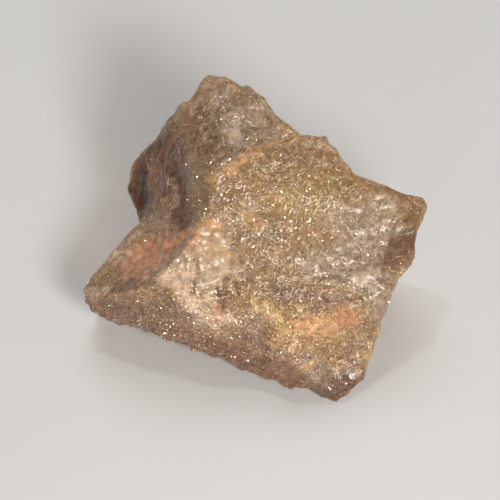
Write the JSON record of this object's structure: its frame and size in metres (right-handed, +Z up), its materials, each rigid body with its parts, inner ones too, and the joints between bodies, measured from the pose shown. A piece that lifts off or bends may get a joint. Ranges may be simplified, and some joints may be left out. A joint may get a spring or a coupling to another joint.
{
  "type": "rutilated quartz chunk",
  "caption": "Rough broken lump of see-through rutilated quartz, full of golden needles, for display or as a gem rough; rests on its flat underside.",
  "frame": {"origin": "on the resting surface, below the middle of the stone", "axes": "+Z up from the flat underside; the face that the picture shows looks toward -Y and up; +X to the right of the picture"},
  "size_m": [0.0603, 0.0516, 0.0335],
  "materials": {
    "quartz": "broken quartz, glossy to frosted, with golden and copper-brown rutile needles inside and iron stain in patches"
  },
  "bodies": {
    "root": {"quartz_chunk": "quartz"}
  },
  "joints": []
}
